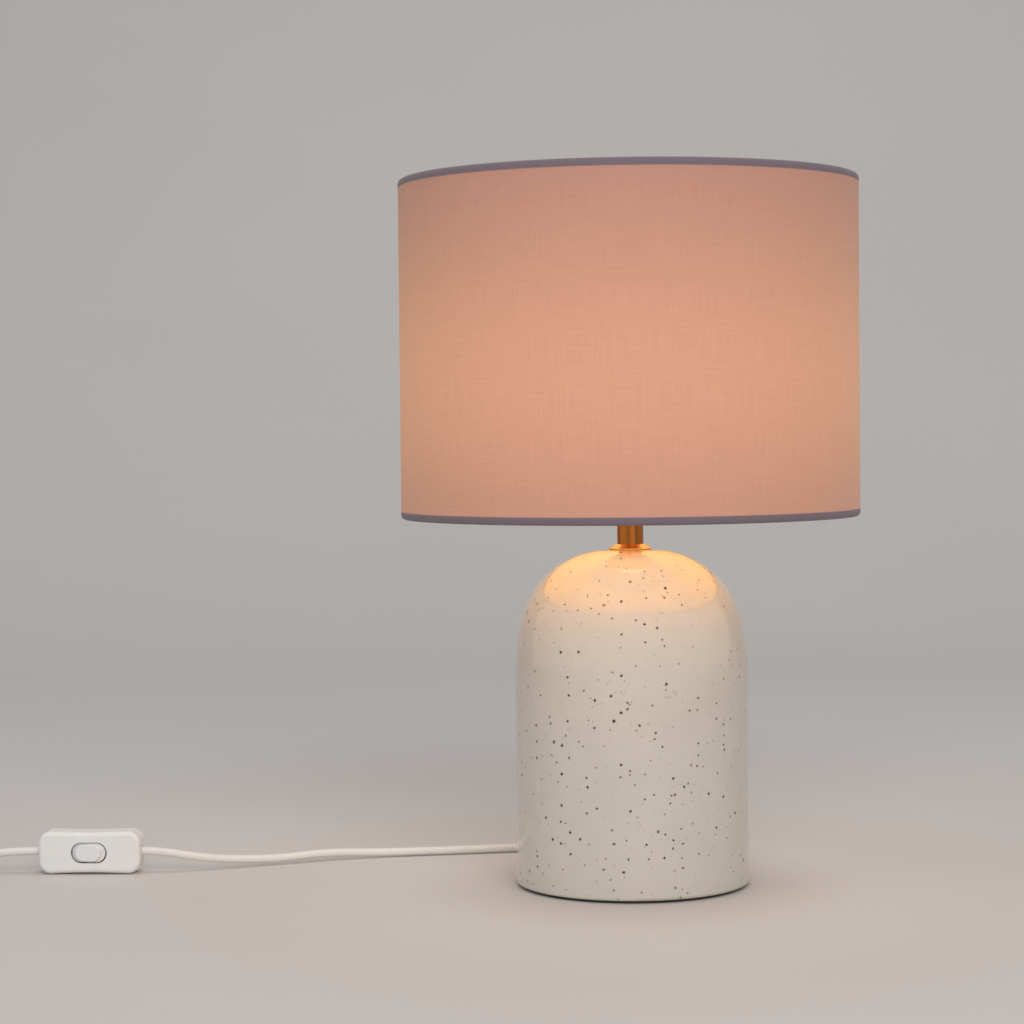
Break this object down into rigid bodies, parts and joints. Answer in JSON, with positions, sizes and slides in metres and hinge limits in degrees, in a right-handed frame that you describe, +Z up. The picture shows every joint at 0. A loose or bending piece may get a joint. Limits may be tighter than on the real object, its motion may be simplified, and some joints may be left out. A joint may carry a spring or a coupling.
{
  "type": "table lamp",
  "caption": "Table lamp with a speckled ceramic dome base, short brass neck and fabric drum shade, with an inline rocker switch and a coiled cord ending in a flat plug.",
  "frame": {"origin": "centre of the base's underside, on the floor", "axes": "+Z up along the lamp's axis, -Y towards the viewer in the picture, cord leaves the back and runs to -X"},
  "size_m": [0.5715, 0.255, 0.3855],
  "materials": {
    "glaze": "glossy cream glaze with dark brown speckles",
    "pad": "matt dark pad",
    "brass": "polished warm brass",
    "contact_brass": "plain stamped brass",
    "steel": "zinc plated",
    "black_rubber": "matt",
    "holder_plastic": "white moulded",
    "insert_ceramic": "unglazed",
    "cotton": "woven slub cotton, lit from inside",
    "liner": "translucent white film",
    "white_wire": "white powder coat",
    "opal_glass": "opal",
    "stem_glass": "clear",
    "filament": "yellow coating",
    "bulb_metal": "satin",
    "black_glass": "black",
    "switch_plastic": "white satin",
    "cord_sheath": "white flexible sheath",
    "core_brown": "brown",
    "core_blue": "blue",
    "tie": "white strap",
    "pin_metal": "nickel plated",
    "pin_sleeve": "white"
  },
  "bodies": {
    "base": {"base_pad": "pad", "ceramic_base": "glaze", "coil_tie": "tie", "cord_base_to_switch": "cord_sheath", "cord_coil": "cord_sheath", "cord_coil_to_plug": "cord_sheath", "cord_grommet": "cord_sheath", "cord_inside": "cord_sheath", "cord_stop": "holder_plastic", "cord_switch_to_coil": "cord_sheath", "core_live": "core_brown", "core_neutral": "core_blue", "lampholder_cap": "holder_plastic", "lampholder_centre_contact": "contact_brass", "lampholder_insert": "insert_ceramic", "lampholder_lock_screw": "steel", "lampholder_screw_shell": "contact_brass", "lampholder_skirt": "holder_plastic", "lampholder_terminal_screws": "steel", "lampholder_terminals": "contact_brass", "neck_flange": "brass", "neck_tube": "brass", "nipple_nut": "steel", "nipple_rubber_washer": "black_rubber", "nipple_steel_washer": "steel", "plug_body": "switch_plastic", "plug_pin_sleeves": "pin_sleeve", "plug_pins": "pin_metal", "switch_case_screws": "steel", "switch_clamp_screws": "steel", "switch_cord_clamps": "holder_plastic", "switch_fixed_terminal": "contact_brass", "switch_front_shell": "switch_plastic", "switch_neutral_link": "contact_brass", "switch_pivot_terminal": "contact_brass", "switch_rear_shell": "switch_plastic", "switch_terminal_screws": "steel", "threaded_nipple": "steel"},
    "shade": {"shade_fabric": "cotton", "shade_liner": "liner", "shade_top_ring": "white_wire", "shade_bottom_ring": "white_wire", "shade_spokes": "white_wire", "shade_fitter": "white_wire"},
    "clamp_ring": {"shade_clamp_ring": "holder_plastic"},
    "bulb": {"bulb_cap": "bulb_metal", "bulb_filaments": "filament", "bulb_glass": "opal_glass", "bulb_insulator": "black_glass", "bulb_stem": "stem_glass", "bulb_tip_contact": "bulb_metal"},
    "rocker": {"switch_rocker": "switch_plastic", "switch_plunger": "holder_plastic", "switch_spring": "steel"},
    "seesaw": {"switch_seesaw": "contact_brass"}
  },
  "joints": [
    {"name": "shade_turn", "type": "hinge", "parent": "base", "child": "shade", "pos_m": [0, 0, 0.2253], "axis": [0, 0, 1], "continuous": true},
    {"name": "clamp_ring_turn", "type": "hinge", "parent": "base", "child": "clamp_ring", "pos_m": [0, 0, 0.23], "axis": [0, 0, 1], "continuous": true},
    {"name": "bulb_turn", "type": "hinge", "parent": "base", "child": "bulb", "pos_m": [0, 0, 0.24], "axis": [0, 0, 1], "continuous": true},
    {"name": "rocker_tilt", "type": "hinge", "parent": "base", "child": "rocker", "pos_m": [-0.308, 0.034, 0.01207], "axis": [0, 0, 1], "range_deg": [0, 16]},
    {"name": "seesaw_tilt", "type": "hinge", "parent": "base", "child": "seesaw", "pos_m": [-0.308, 0.042, 0.01207], "axis": [0, 0, 1], "range_deg": [-12, 0]}
  ],
  "couplings": [
    {"joint": "seesaw_tilt", "follows": "rocker_tilt", "ratio": -0.75}
  ]
}
